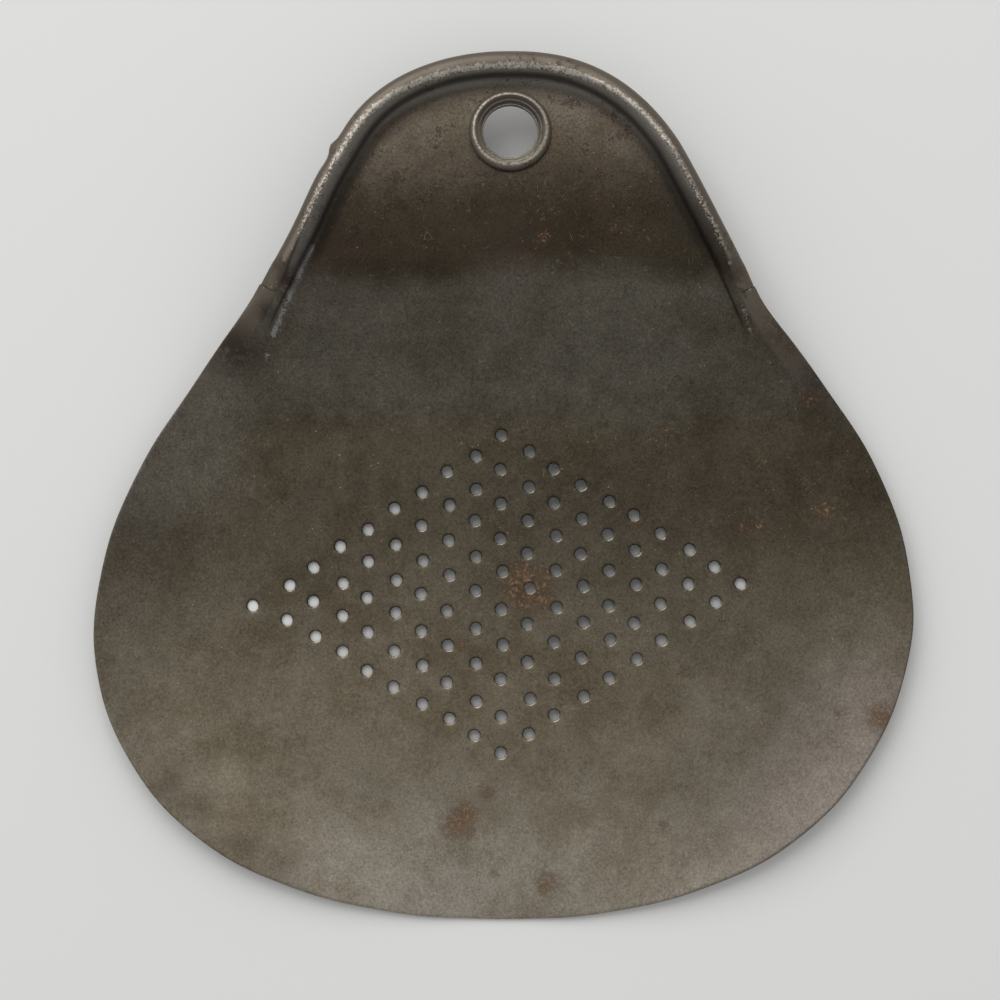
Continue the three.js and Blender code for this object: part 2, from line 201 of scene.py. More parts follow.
def edge_sections(place, outward, from_end, rolled, left=0.0):
    """Sections of the sheet across its edge, as a grid of points on its top face.

    Rows are stations and columns are rings: a quarter ellipse up out of the hollow, a quarter
    ellipse over to the crest, then an arc round the wire, or a falling flank out to the cut edge.
    Where the fold has died out, the rings follow the margin's parabola instead. The roll has its
    knock and its dint where left is 1.
    """
    fold = smoothstep(from_end, -fade_length, 0)[:, None]
    pressed = smoothstep(from_end, wire_setback - wire_end_step, wire_setback)
    half = roll_radius * mix(pressed_share, 1, pressed)[:, None]
    wobble = np.sin(from_end / wobble_run + np.sin(from_end / wobble_drift)) * pressed
    half = half + roll_wobble * wobble[:, None]
    centre_up = half - roll_sink
    margin = mix(margin_width, -hollow_start, smoothstep(place[:, 1], floor_end, plate_start))[:, None]
    full = smoothstep(abs(place[:, :1]), 0, full_rise_share * half_width)
    rise = margin_rise * mix(lip_rise_share, 1, full)
    share = np.arange(crest_ring + 1) / crest_ring
    gentle = mix(-margin, roll_centre, share[None])
    low = right_angle * np.arange(hollow_steps + 1) / hollow_steps
    high = right_angle * np.arange(1, wall_steps + 1) / wall_steps
    wall_out = roll_centre - roll_radius * np.cos(high)
    fold_out = np.concatenate([hollow_start + hollow_width * np.sin(low), wall_out])
    fold_up = np.concatenate([centre_up * (1 - np.cos(low)), centre_up + half * np.sin(high)], axis=1)
    snipped = edge_wander * (np.sin(from_end / long_wander) + np.sin(from_end / short_wander + 1))[:, None]
    if rolled:
        turn = math.radians(wrap_angle) * np.arange(1, wrap_steps + 1) / wrap_steps
        lump = left * np.exp(-(((from_end - lump_from_end) / lump_length) ** 2))[:, None]
        dint = left * np.exp(-(((from_end - dint_from_end) / dint_length) ** 2))[:, None]
        side = np.clip(np.sin(turn), 0, 1) ** 2
        reach = roll_radius + spread_share * (roll_radius - half)
        far_out = roll_centre + reach * np.sin(turn) + side * (lump_rise * lump - dint_depth * dint)
        far_up = centre_up + half * np.cos(turn) - lump_rise / 2 * lump * np.clip(np.cos(turn), 0, 1)
        fold_up = fold_up - lump_rise / 2 * lump * np.concatenate([0 * low, np.sin(high) ** 2])
    else:
        out = np.arange(1, flank_steps + 1) / flank_steps
        far_out = mix(roll_centre, snipped - cut_setback_share * sheet, out[None])
        far_fold = centre_up + half - ridge_drop * out**2
        far_up = mix(rise * ((far_out + margin) / margin) ** 2, far_fold, fold)
    near_out = mix(gentle, fold_out, fold)
    near_up = mix(rise * ((gentle + margin) / margin) ** 2, fold_up, fold)
    out = np.concatenate([near_out, far_out + 0 * fold], axis=1)
    up = np.concatenate([near_up, far_up], axis=1)
    plan = place[:, None] + outward[:, None] * out[..., None]
    base = body_top(plan[..., 0], plan[..., 1])
    if rolled:
        base[:, crest_ring + 1 :] = base[:, crest_ring : crest_ring + 1]
    return np.dstack([plan, base + up])


def strip(place, outward, from_end, rolled, left=0.0):
    """The edge's sections closed into loops: top face, rounded cut edge, bottom face.

    The marks go round each loop too: the crest's polish with its painted highlight, the inset from the
    outline, and how far a point lies within that polished and highlighted line.
    """
    top = edge_sections(place, outward, from_end, rolled, left)
    along, across = np.gradient(top, axis=0), np.gradient(top, axis=1)
    normal = np.cross(along, across)
    normal /= np.linalg.norm(normal, axis=-1, keepdims=True)
    normal[:, 0] = body_normal(top[:, 0, 0], top[:, 0, 1])
    bottom = top - sheet * normal
    last_out = across[:, -1] / np.linalg.norm(across[:, -1], axis=-1, keepdims=True)
    turn = (math.pi * np.arange(1, edge_steps + 1) / (edge_steps + 1))[None, :, None]
    middle = (top[:, -1:] + bottom[:, -1:]) / 2
    cut = middle + sheet / 2 * (np.cos(turn) * normal[:, -1:] + np.sin(turn) * last_out[:, None])
    inset = ((place[:, None] - top[..., :2]) * outward[:, None]).sum(axis=2)
    near_end = smoothstep(from_end, polish_glint_end_from, polish_glint_end_to)[:, None]
    polish_glint_at = polish_glint_line(outward)[:, None] + polish_glint_end_inset * near_end
    x = place[:, :1]
    on_flank = smoothstep(x, *right_loss_span) + smoothstep(-x, *left_loss_span)
    polish_glint_strength = (1 - flank_wear_loss * on_flank) * (1 - near_end)
    # The polished line, placed and weighted to stand in for the crest's highlight as well.
    polish_glint = polish_glint_strength * np.exp(-(((inset - polish_glint_at) / polish_glint_width) ** 2))
    inset = np.concatenate([inset, inset[:, -1:] + np.zeros(edge_steps), inset[:, ::-1]], axis=1)
    after = np.arange(edge_steps + top.shape[1])
    cut_wear = cut_edge_wear * np.exp(-(((after - edge_steps / 2 + 0.5) / edge_steps) ** 2))
    polish_glint = np.concatenate([polish_glint, cut_wear + 0 * polish_glint[:, :1]], axis=1)
    marks = {"wear": polish_glint, "inset": inset, "within": inset - polish_glint_at}
    return top, bottom, np.concatenate([top, cut, bottom[:, ::-1]], axis=1), marks


class Patches:
    """Grids and triangles gathered for one mesh, which are welded where they meet.

    Each point also has three marks for the material: its wear and painted light (polish, painted
    highlights and, where negative, painted shade), its inset from the outline, and how far it lies
    within the line where hands have polished the roll and its highlight is painted.
    """

    def __init__(self):
        self.points, self.faces, self.count = [], [], 0
        self.marks = {"wear": [], "inset": [], "within": []}

    def add(self, points, faces, wear=0.0, inset=30.0, within=30.0):
        self.points.append(points.reshape(-1, 3))
        for name, value in (("wear", wear), ("inset", inset), ("within", within)):
            self.marks[name].append(np.broadcast_to(value, points.shape[:-1]).reshape(-1))
        self.faces.extend((np.asarray(faces) + self.count).tolist())
        self.count += len(self.points[-1])

    def grid(self, points, closed=False, **marks):
        """Quads between neighbouring rows and columns; closed joins the last row to the first."""
        rows, columns = points.shape[:2]
        number = np.arange(rows * columns).reshape(rows, columns)
        following = np.roll(number, -1, axis=0)
        if not closed:
            number, following = number[:-1], following[:-1]
        quads = np.stack([number[:, :-1], following[:, :-1], following[:, 1:], number[:, 1:]], -1)
        self.add(points, quads.reshape(-1, 4), **marks)

    def mesh(self, name, weld=0.002):
        """A smooth closed mesh in metres, its faces outward, with the marks as attributes."""
        mesh = bpy.data.meshes.new(name)
        mesh.from_pydata((np.concatenate(self.points) * MM).tolist(), [], self.faces)
        for mark, values in self.marks.items():
            mesh.attributes.new(mark, "FLOAT", "POINT").data.foreach_set("value", np.concatenate(values))
        work = bmesh.new()
        work.from_mesh(mesh)
        bmesh.ops.remove_doubles(work, verts=work.verts, dist=weld * MM)
        bmesh.ops.dissolve_degenerate(work, edges=work.edges, dist=weld * MM / 10)
        bmesh.ops.recalc_face_normals(work, faces=work.faces)
        work.to_mesh(mesh)
        work.free()
        mesh.shade_smooth()
        return mesh


handle_steps, pan_steps = 78, 150
right = stations_of(1, right_knot_shares, handle_steps, pan_steps)
left = stations_of(-1, left_knot_shares, handle_steps, pan_steps)
on_roll = right[3]
rolled = [np.concatenate([a[on_roll][::-1], b[on_roll][1:]]) for a, b in zip(left[:3], right[:3])]
plain = [np.concatenate([b[~on_roll], a[~on_roll][::-1][1:]]) for a, b in zip(left[:3], right[:3])]
is_left = (np.arange(len(rolled[0])) < handle_steps).astype(float)[:, None]
roll_top, roll_bottom, roll_loop, roll_marks = strip(*rolled, True, is_left)
plain_top, plain_bottom, plain_loop, plain_marks = strip(*plain, False)

pan = Patches()
pan.grid(roll_loop, **roll_marks)
pan.grid(plain_loop, **plain_marks)
for roll_row, plain_row in ((-1, 0), (0, -1)):  # the right end of the roll, then the left
    inset = roll_marks["inset"][roll_row, : crest_ring + 1]
    for roll_face, plain_face in ((roll_top, plain_top), (roll_bottom, plain_bottom)):
        seam = [roll_face[roll_row, : crest_ring + 1], plain_face[plain_row, : crest_ring + 1]]
        pan.grid(np.stack(seam), inset=inset)
    crest = [[face[roll_row, crest_ring] for face in (roll_top, roll_bottom)]]
    crest += [[face[plain_row, crest_ring] for face in (plain_top, plain_bottom)]]
    pan.grid(np.array(crest), inset=0)
for top, bottom, loop in ((roll_top, roll_bottom, roll_loop), (plain_top, plain_bottom, plain_loop)):
    for end in (0, -1):
        cut_marks = {"wear": cut_end_wear, "inset": 0, "within": -2}
        pan.grid(np.stack([top[end, crest_ring:], bottom[end, crest_ring:]]), **cut_marks)
        rim = loop[end, top.shape[1] - 1 : top.shape[1] + edge_steps + 1]
        pan.add(rim, [list(range(len(rim)))], **cut_marks)

# The punched diamond: rows and columns run down from the top corner, and every hole strays a little.
hole_radius, collar_radius = 1.12, 2.1
holes_per_row = 10
diamond_top = np.array([-0.5, 9.9])
leftward_pitch, leftward_slope = 6.45, math.radians(33.8)
rightward_pitch, rightward_slope = 6.22, math.radians(30.2)
row_bow, hand_wander, stray_corner = 0.0205, 0.3, 1.6
row, column = (a.ravel() for a in np.mgrid[0:holes_per_row, 0:holes_per_row].astype(float))
wander_x = hand_wander * np.sin(row * row + column * (row + 2))
wander_y = hand_wander * np.cos(column * column + row * (column + 3))
hole_x = diamond_top[0] - row * leftward_pitch * math.cos(leftward_slope) + wander_x
hole_x += column * rightward_pitch * math.cos(rightward_slope)
hole_x[(row == holes_per_row - 1) & (column == 0)] -= stray_corner
hole_y = diamond_top[1] - row * leftward_pitch * math.sin(leftward_slope) + wander_y
hole_y -= column * rightward_pitch * math.sin(rightward_slope) + row_bow * (row**2 + column**2)

# Each hole's collar is a profile of (distance past the hole's edge, depth) turned about its middle:
# the edge that the punch drew in, the wall, and the burr behind.
collar_profile = [(1.0, 0.0), (0.55, 0.012), (0.3, 0.035), (0.15, 0.08), (0.06, 0.15), (0.0, 0.27)]
collar_profile += [(0.0, 0.48), (0.04, 0.61), (0.12, 0.6), (0.28, 0.53), (1.0, sheet)]
collar_sides = 24
out_of_round, uneven_draw = 0.03, 0.35  # the punch wasn't quite round, nor its blow quite even
deepest_draw = 0.3  # only the drawn-in edge, down to this depth, is uneven
glint_side = math.radians(-65)  # towards the lip, the side of each hole that gets a painted highlight
angle = 2 * np.pi * np.arange(collar_sides) / collar_sides
oval = 1 + out_of_round * np.sin(3 * row + 5 * column)[:, None] * np.cos(2 * angle + row[:, None])
uneven = uneven_draw * np.sin(2.3 * row + 1.7 * column)
collar_rings = []
for past, depth in collar_profile:
    reach = mix(hole_radius * oval, collar_radius, past)
    x = hole_x[:, None] + reach * np.cos(angle)
    y = hole_y[:, None] + reach * np.sin(angle)
    drawn = depth * (1 + (uneven[:, None] if 0 < past < 1 and depth < deepest_draw else 0))
    drawn = np.broadcast_to(drawn, x.shape)
    top = np.stack([x, y, body_top(x, y)], -1)
    collar_rings.append(top - drawn[..., None] * body_normal(x, y))
collars = np.stack(collar_rings, axis=2)  # holes, angles, profile, place
painted_glint = np.array([0, 0, 0.1, 1.0, 1.5, 1.5, 0.8, 0, 0, 0, 0])  # a painted highlight along the profile's edge
painted_shade = np.array([0, 0, 0.2, 0.6, 0.4, 0, 0, 0.3, 0.3, 0, 0])  # painted shade in the drawn-in ring
# Each collar has a painted highlight on its side towards the lip and painted shade round the rest.
facing = np.clip(np.cos(angle - glint_side), 0, 1)[:, None]
for collar in collars:
    pan.grid(collar, closed=True, wear=painted_glint * facing - painted_shade * (1 - facing))

# The hanging hole in the plate, which the eyelet lines.
eyelet_place = np.array([1.3, crown_reach - 16.65])
bore_radius, eyelet_wall = 10.9 / 2, 0.6
hanging_radius = bore_radius + eyelet_wall + clearance
hanging_sides = 72
angle = 2 * np.pi * np.arange(hanging_sides) / hanging_sides
hanging = eyelet_place + hanging_radius * np.stack([np.cos(angle), np.sin(angle)], -1)


def faces_of(plan):
    top = np.column_stack([plan, body_top(plan[:, 0], plan[:, 1])])
    return top, top - sheet * body_normal(plan[:, 0], plan[:, 1])


pan.grid(np.stack(faces_of(hanging), axis=1), closed=True)


def inside(points, loop):
    """Whether each point lies inside a closed loop: a ray to the right crosses it an odd number of times."""
    x, y = points[:, 0, None], points[:, 1, None]
    (x0, y0), (x1, y1) = loop.T, np.roll(loop, -1, axis=0).T
    crosses = ((y0 > y) != (y1 > y)) & (x < x0 + (y - y0) * (x1 - x0) / np.where(y1 == y0, 1, y1 - y0))
    return crosses.sum(axis=1) % 2 == 1


# Between the collars, the hanging hole and the innermost ring, the sheet is spanned by triangles on
# a staggered grid of points.
inner_loop = np.concatenate([roll_top[:, 0, :2], plain_top[:, 0, :2]])
spacing = 1.4
edge_gap_share, collar_gap_share, bore_gap_share = 0.6, 0.35, 0.5
rows_y = np.arange(-lip_reach, crown_reach, spacing * math.sqrt(3) / 2)
columns_x = np.arange(-half_width, half_width, spacing)
grid_x, grid_y = np.meshgrid(columns_x, rows_y)
grid_x = grid_x + (np.arange(len(rows_y)) % 2)[:, None] * spacing / 2
field = np.column_stack([grid_x.ravel(), grid_y.ravel()])
field = field[inside(field, inner_loop)]
centres = np.column_stack([hole_x, hole_y])


def nearest(points, others):
    return np.sqrt(((points[:, None] - others[None]) ** 2).sum(axis=2)).min(axis=1)


field = field[nearest(field, inner_loop) > edge_gap_share * spacing]
field = field[nearest(field, centres) > collar_radius + collar_gap_share * spacing]
field = field[nearest(field, eyelet_place[None]) > hanging_radius + bore_gap_share * spacing]
collar_loops = collars[:, :, 0, :2].reshape(-1, 2)
plan = np.concatenate([inner_loop, collar_loops, hanging, field])
loops = [(0, len(inner_loop)), (len(inner_loop) + len(collar_loops), hanging_sides)]
loops += [(len(inner_loop) + k * collar_sides, collar_sides) for k in range(len(collars))]
borders = [(start + k, start + (k + 1) % count) for start, count in loops for k in range(count)]
spanned = delaunay_2d_cdt([Vector(p) for p in plan.tolist()], borders, [], 1, 1e-6)
triangles = np.array(spanned[2])
loop_number = np.zeros(len(plan), int)
for number, (start, count) in enumerate(loops[1:], 1):
    loop_number[start : start + count] = number
corner_loops = loop_number[triangles]
in_a_hole = (corner_loops[:, 0] > 0) & (corner_loops == corner_loops[:, :1]).all(axis=1)
triangles = triangles[~in_a_hole]
outline, outline_outward = (np.concatenate([rolled[k], plain[k]]) for k in (0, 1))
away = np.linalg.norm(plan[:, None] - outline[None], axis=2)
field_inset = away.min(axis=1)
field_within = field_inset - polish_glint_line(outline_outward)[away.argmin(axis=1)]
for face in faces_of(plan):
    pan.add(face, triangles, inset=field_inset, within=field_within)

pan_mesh = pan.mesh("sheet_body")
pan_mesh.set_sharp_from_angle(angle=math.radians(60))
sheet_body = bpy.data.objects.new("sheet_body", pan_mesh)
bpy.context.collection.objects.link(sheet_body)
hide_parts("skimmer_pan")
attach(sheet_body, "root")


# Marks of age in millimetres, as (across, along, radius, strength): rust that has broken through,
# and dark stains where the tin has gone.
rust_spots = [
    (5.4, -20.6, 5.0, 1.0), (-9.9, -67.9, 3.0, 0.85), (50.4, -9.0, 2.6, 0.8), (26.5, -7.0, 1.6, 0.7),
    (-7.6, -65.9, 2.8, 0.85), (-7.0, -69.0, 2.0, 0.7), (3.5, -17.5, 3.0, 0.8), (8.5, -23.0, 2.2, 0.8),
    (64.7, -5.2, 2.2, 0.8), (75.4, -46.6, 3.0, 0.9), (36.6, -37.4, 1.6, 0.7), (28.7, -43.2, 1.6, 0.6),
    (-8.5, -32.3, 1.8, 0.6), (-3.5, -61.5, 1.8, 0.8), (8.6, -79.5, 2.6, 0.8), (31.8, -67.8, 1.3, 0.8),
    (22.0, -58.2, 1.4, 0.6), (44.0, -27.2, 1.2, 0.6), (67.0, -45.6, 1.4, 0.7), (61.7, 17.2, 2.2, 0.6),
    (57.3, 27.0, 2.4, 0.5), (22.8, 17.4, 1.0, 0.8), (31.8, 11.0, 1.0, 0.7), (7.8, 48.6, 1.8, 0.6),
    (21.8, 51.2, 1.0, 0.7), (-19.5, -26.0, 1.2, 0.6), (-60.0, -52.0, 1.4, 0.5), (-36.0, 66.0, 1.2, 0.5),
    (-2.0, -77.5, 1.4, 0.6), (-41.0, 62.0, 1.4, 0.5), (17.5, 57.0, 1.8, 0.5), (-22.0, 65.0, 3.0, 0.35),
]
dark_stains = [
    (-53.5, 27.0, 4.5, 1.0), (56.0, 31.0, 5.0, 0.7), (64.0, 21.5, 5.0, 0.8), (-42.9, 40.0, 2.1, 1.2),
    (-47.3, 34.2, 1.9, 0.9), (45.5, 40.0, 2.6, 0.8), (-34.0, 44.0, 8.0, 0.5), (2.0, 47.5, 9.0, 0.4),
    (-66.5, -60.0, 3.0, 0.45), (-61.5, -64.0, 3.5, 0.5), (-50.5, -72.0, 3.6, 0.5), (-45.0, -75.5, 4.0, 0.4),
]


def marked(plan, spots):
    """The strongest of the spots at each place; each is a bell curve of the distance."""
    strength = np.zeros(len(plan))
    for across, along, radius, most in spots:
        distance = np.hypot(plan[:, 0] - across, plan[:, 1] - along)
        strength = np.maximum(strength, most * np.exp(-((distance / radius) ** 2)))
    return strength


class Shade:
    """One socket of a material's nodes: sums on it add Math nodes, and node() adds any other node."""

    def __init__(self, tree, socket=None):
        self.tree, self.socket = tree, socket

    def node(self, kind, settings, inputs, output=0):
        """A node of this kind: its settings first, then the values or links of its inputs."""
        made = self.tree.nodes.new("ShaderNode" + kind)
        for name, value in settings.items():
            setattr(made, name, value)
        for name, value in inputs.items():
            if isinstance(value, Shade):
                self.tree.links.new(value.socket, made.inputs[name])
            else:
                made.inputs[name].default_value = value
        return Shade(self.tree, made.outputs[output])

    def sum(self, operation, *values):
        return self.node("Math", {"operation": operation}, dict(enumerate(values)))

    def __add__(self, other):
        return self.sum("ADD", self, other)

    def __sub__(self, other):
        return self.sum("SUBTRACT", self, other)

    def __rsub__(self, other):
        return self.sum("SUBTRACT", other, self)

    def __mul__(self, other):
        return self.sum("MULTIPLY", self, other)

    __radd__, __rmul__ = __add__, __mul__

    def feed(self, shader, name):
        self.tree.links.new(self.socket, shader.inputs[name])


def colour(red, green, blue):
    """A colour as a screen shows it, 0 to 255, turned to the light that it stands for."""
    values = [c / 255 for c in (red, green, blue)]
    return [c / 12.92 if c <= 0.04045 else ((c + 0.055) / 1.055) ** 2.4 for c in values] + [1.0]


def new_material(name):
    """A material's shader, and the place on the piece in millimetres."""
    material = bpy.data.materials.new(name)
    material.use_nodes = True
    place = Shade(material.node_tree).node("TexCoord", {}, {}, "Object")
    place = place.node("VectorMath", {"operation": "SCALE"}, {0: place, "Scale": 1 / MM})
    return material, place, material.node_tree.nodes["Principled BSDF"]


def cloud(place, size, detail=3.0, roughness=0.55, seed=0.0):
    """Cloudy noise about 0.5, with lumps of about this size in millimetres."""
    sockets = {"Vector": place, "W": seed, "Scale": 1 / size, "Detail": detail, "Roughness": roughness}
    return place.node("TexNoise", {"noise_dimensions": "4D"}, sockets, "Fac")


def between(value, low, high):
    """0 at low, 1 at high and smooth between them."""
    settings = {"interpolation_type": "SMOOTHSTEP"}
    if low < high:
        return value.node("MapRange", settings, {"Value": value, "From Min": low, "From Max": high})
    return 1 - value.node("MapRange", settings, {"Value": value, "From Min": high, "From Max": low})


def blend(share, first, second, how="MIX"):
    """One colour turned to another by a share."""
    settings = {"data_type": "RGBA", "blend_type": how}
    return share.node("Mix", settings, {0: share, 6: first, 7: second}, 2)


def scored(place, angle, length, width, seed):
    """Thin bent scratches: noise drawn out along one direction, kept where a broad noise is high."""
    swirl = place.node("TexNoise", {}, {"Vector": place, "Scale": 1 / 9}, "Color")
    swirl = swirl.node("VectorMath", {"operation": "SCALE"}, {0: swirl, "Scale": 4})
    bent = place.node("VectorMath", {"operation": "ADD"}, {0: place, 1: swirl})
    turn = {"Vector": bent, "Angle": math.radians(angle)}
    turned = place.node("VectorRotate", {"rotation_type": "Z_AXIS"}, turn)
    stretch = (1 / length, 1 / width, 0)
    drawn = turned.node("VectorMath", {"operation": "MULTIPLY"}, {0: turned, 1: stretch})
    fine = cloud(drawn, 1, detail=0, seed=seed)
    return between(fine, 0.75, 0.82) * between(cloud(place, 12, seed=seed + 3), 0.47, 0.58)


def tinned_iron(name, polish_glint_colour, metallic):
    """Old tinned iron: brown where the tin has worn off, grey where it is left, and bright on edges,
    partly polished and partly with painted highlights; painted light and shade lie in its colour too.
    """
    metal, place, shader = new_material(name)
    along = place.node("SeparateXYZ", {}, {0: place}, "Y")
    across = place.node("SeparateXYZ", {}, {0: place}, "X")
    names = ("wear", "inset", "within", "rust", "stain", "glint_and_bare")
    marks = [place.node("Attribute", {"attribute_name": mark}, {}, "Fac") for mark in names]
    wear, inset, within, rust, stain, glint_and_bare = marks
    broad, patchy = cloud(place, 38, seed=1), cloud(place, 11, detail=5, seed=2)
    mottle = cloud(place, 5, detail=5, roughness=0.95, seed=3)
    grain = cloud(place, 0.5, detail=1, roughness=0.9, seed=4)
    drift = along + 12 * (broad - 0.5) + 8 * (patchy - 0.5) + 8 * (mottle - 0.5)

    # Broad tones: the floor, the lip, the step, the plate and the crown, then the rim, olive clouds and
    # the pan's two sides. They are partly the patina and partly painted light and shade: the floor and
    # the plate are painted darker, and the lip, the step's band and the crown lighter, as light falls on
    # them.
    tone = blend(between(drift, 2, -56), colour(58, 52, 42), colour(96, 89, 76))
    tone = blend(between(drift, -50, -84) * between(across * across, 2800, 100), tone, colour(125, 119, 109))
    tone = blend(between(drift, 9, 22) * between(drift, 46, 38), tone, colour(72, 68, 60))
    tone = blend(between(drift, 38, 46), tone, colour(38, 32, 22))
    tone = blend(between(drift, 54, 74), tone, colour(74, 67, 58))
    edging = between(inset, 17, 2) * between(drift, 30, 10) * between(across, 62, 30)
    tone = blend(0.2 * edging, tone, colour(98, 92, 86))
    flank = between(inset, 24, 6) * between(across, 28, 62) * between(along, -20, -50)
    tone = blend(0.5 * flank, tone, colour(66, 60, 55))
    olive = between(cloud(place, 14, detail=6, roughness=0.7, seed=7), 0.4, 0.65)
    tone = blend(0.45 * olive, tone, colour(116, 104, 66), "SOFT_LIGHT")
    rosy = between(across, 20, 75) * between(along, -15, -60)
    tone = blend(0.35 * rosy, tone, colour(108, 102, 100))
    # A painted reflection: the pan's left side is painted lighter.
    left_painted_reflection = between(across, -46, -60) * between(along, -14, 4) * between(along, 34, 20)
    tone = blend(0.4 * left_painted_reflection, tone, colour(98, 93, 84))

    # The grain, then the roll: its outside, tinned and painted lighter as if lit, the trough within it
    # painted lighter to stand for light that fills it, and painted shade at the trough's foot.
    swing = 1 - 0.2 * between(along, 0, -60)
    speckle = 1.6 + swing * (2.1 * (mottle - 0.5) + 2.4 * (grain - 0.5))
    tone = tone.node("VectorMath", {"operation": "SCALE"}, {0: tone, "Scale": speckle})
    # The roll's outside: tin left on it, painted lighter as if lit.
    tin_band_painted_lit = between(within, 0.3, -0.4) * between(along, 12, 36)
    tone = blend(0.7 * tin_band_painted_lit, tone, colour(112, 103, 92))
    # Painted light in the trough, lifting its shade.
    hollow_painted_light = between(within, 0.1, 0.9) * between(within, 3.8, 2.4) * between(along, 28, 38)
    tone = blend(0.65 * hollow_painted_light * between(across, 46, 26), tone, colour(116, 113, 108))
    # Painted shade at the foot of the trough.
    foot = between(within, 2.2, 3.4) * between(within, 7, 4.2) * between(along, 40, 52)
    tone = blend(0.35 * foot, tone, colour(42, 38, 34))

    # Painted highlights on the ridges with bare tin at the cut, then marks of age: stains, rust and its
    # crumbs, specks, veins and scratches.
    # Painted highlights on the ridges, drawn in the pale grey of bare tin, and the bare burr of the cut.
    glints_and_bare_tin = between(glint_and_bare + 2.2 * (mottle - 0.5) + 1.2 * (grain - 0.5), 0.45, 0.85)
    tone = blend(0.75 * glints_and_bare_tin, tone, colour(148, 150, 150))
    tone = blend(0.8 * stain * between(mottle, 0.4, 0.5), tone, colour(50, 36, 30))
    flaky = cloud(place, 0.8, detail=4, roughness=0.95, seed=9)
    rusting = rust + 5 * (flaky - 0.5) + 2.6 * (mottle - 0.5)
    tone = blend(0.42 * between(rust, 0.05, 0.5) * between(rusting, 0.0, 0.6), tone, colour(74, 54, 38))
    rusty = between(rust, 0.1, 0.3) * between(rusting, 0.72, 0.86)
    crumbs = blend(between(flaky, 0.5, 0.62), colour(100, 72, 48), colour(148, 116, 84))
    tone = blend(0.75 * rusty, tone, crumbs)
    specks = place.node("TexVoronoi", {}, {"Vector": place, "Scale": 1 / 1.3}, "Distance")
    specks = between(specks, 0.15, 0.08) * between(mottle, 0.53, 0.58)
    tone = blend(0.45 * specks, tone, colour(176, 166, 138))
    contour = cloud(place, 7, detail=3, roughness=0.6, seed=12) - 0.5
    vein = between(contour * contour, 0.00003, 0.0) * between(cloud(place, 5, seed=13), 0.56, 0.66)
    tone = blend(0.2 * vein, tone, colour(140, 130, 104))
    scratch = scored(place, 20, 3, 0.1, 1) + scored(place, 75, 4, 0.1, 2) + scored(place, -50, 2.5, 0.1, 5)
    tone = blend(0.5 * scratch, tone, colour(150, 143, 118))

    # Wear and painted light: painted shade where the mark is negative, polish with a painted highlight
    # where it is near 1, and pits in the handle.
    painted_shade = between(-1 * wear, 0.05, 0.5)
    tone = blend(0.6 * painted_shade, tone, colour(30, 28, 26))
    shine = between(wear + 1.3 * (mottle - 0.5) + 1.6 * (grain - 0.5), 0.4, 1.2)
    pits = between(mottle, 0.56, 0.63) * between(along, 38, 50)
    tone = blend(0.5 * pits, tone, colour(46, 32, 27))
    tone = blend(shine, tone, colour(*polish_glint_colour))
    tone.feed(shader, "Base Color")
    (0.46 + 0.16 * (patchy - 0.5) - 0.12 * shine + 0.2 * rusty).feed(shader, "Roughness")
    (metallic - 0.5 * rusty).feed(shader, "Metallic")
    height = 0.012 * grain + 0.03 * mottle + 0.05 * rusty * grain - 0.06 * pits - 0.01 * scratch
    bump = height.node("Bump", {}, {"Height": height * MM, "Distance": 1.0, "Strength": 1.0})
    bump.feed(shader, "Normal")
    return metal


# Painted highlights along the left ridge and a short length of the right one, and the bright burr
# of the cut.
ridge_glints = [(mix(-38.1, -46.3, t), mix(46.6, 30.0, t), 0.7, 0.9) for t in np.linspace(0, 1, 24)]
ridge_glints += [(mix(47.4, 49.4, t), mix(35.5, 30.5, t), 0.7, 0.65) for t in np.linspace(0, 1, 8)]
ridge_glints += [(-47.9, 25.9, 1.0, 0.9), (44.5, 43.0, 0.5, 1.0), (48.9, 38.2, 0.5, 1.2)]
places = np.zeros(3 * len(pan_mesh.vertices))
pan_mesh.vertices.foreach_get("co", places)
plan = places.reshape(-1, 3)[:, :2] / MM
for mark, spots in (("rust", rust_spots), ("stain", dark_stains), ("glint_and_bare", ridge_glints)):
    pan_mesh.attributes.new(mark, "FLOAT", "POINT").data.foreach_set("value", marked(plan, spots))
metal = tinned_iron("worn_tinned_iron", (176, 170, 160), 0.8)
pan_mesh.materials.append(metal)

# The stiffening wire
# A length of drawn iron wire, bent to the handle's outline and held inside the curled edge. It
# stops short of the curl's ends, where its cut faces can be seen.
wire_steps, wire_sides = 160, 20
wire_span = rolled[2] >= wire_setback
wire_plan = (rolled[0] + roll_centre * rolled[1])[wire_span]
arc = np.concatenate([[0], np.cumsum(np.linalg.norm(np.diff(wire_plan, axis=0), axis=1))])
even = np.linspace(0, arc[-1], wire_steps + 1)
wire_x, wire_y = (np.interp(even, arc, wire_plan[:, k]) for k in (0, 1))
wire_z = body_top(wire_x, wire_y) + roll_radius - roll_sink
line = np.stack([wire_x, wire_y, wire_z], -1)
heading = np.gradient(line, axis=0)
heading /= np.linalg.norm(heading, axis=1, keepdims=True)
side = np.cross(heading, [0, 0, 1])
side /= np.linalg.norm(side, axis=1, keepdims=True)
up = np.cross(side, heading)
angle = 2 * np.pi * np.arange(wire_sides) / wire_sides
ring = np.cos(angle)[None, :, None] * side[:, None] + np.sin(angle)[None, :, None] * up[:, None]
wire = Patches()
tube = line[:, None] + wire_diameter / 2 * ring
wire.grid(np.concatenate([tube, tube[:, :1]], axis=1))
for end in (0, -1):
    wire.add(tube[end], [list(range(wire_sides))])
wire_mesh = wire.mesh("stiffening_wire")
wire_mesh.set_sharp_from_angle(angle=math.radians(40))
wire_mesh.materials.append(metal)
